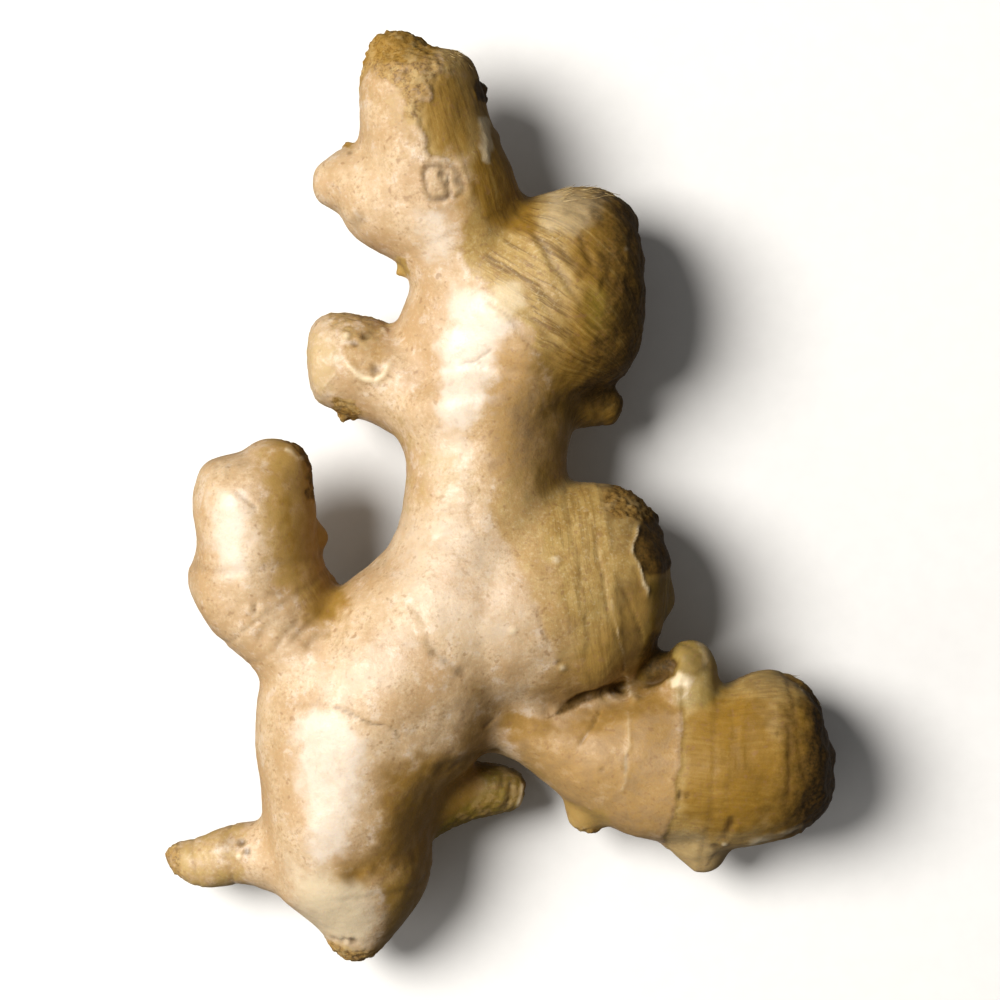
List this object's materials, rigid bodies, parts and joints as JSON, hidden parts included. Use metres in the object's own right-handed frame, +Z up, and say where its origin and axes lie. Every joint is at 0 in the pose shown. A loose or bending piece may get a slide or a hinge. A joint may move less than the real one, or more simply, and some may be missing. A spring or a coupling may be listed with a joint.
{
  "type": "ginger root",
  "caption": "Fresh ginger root, one knobbly branching rhizome with blunt fingers, broken stubs and small buds, lying flat.",
  "frame": {"origin": "middle of the root's bounding box in X and Y, on the surface that it rests on", "axes": "+Z up from the surface, +Y along the root from its foot to its crown, +X to the right seen from above"},
  "size_m": [0.116, 0.16, 0.036],
  "materials": {
    "ginger_skin": "thin tan skin, satin, mottled pink-beige to olive, with brown corky scars"
  },
  "bodies": {
    "root": {"ginger_rhizome": "ginger_skin"}
  },
  "joints": []
}
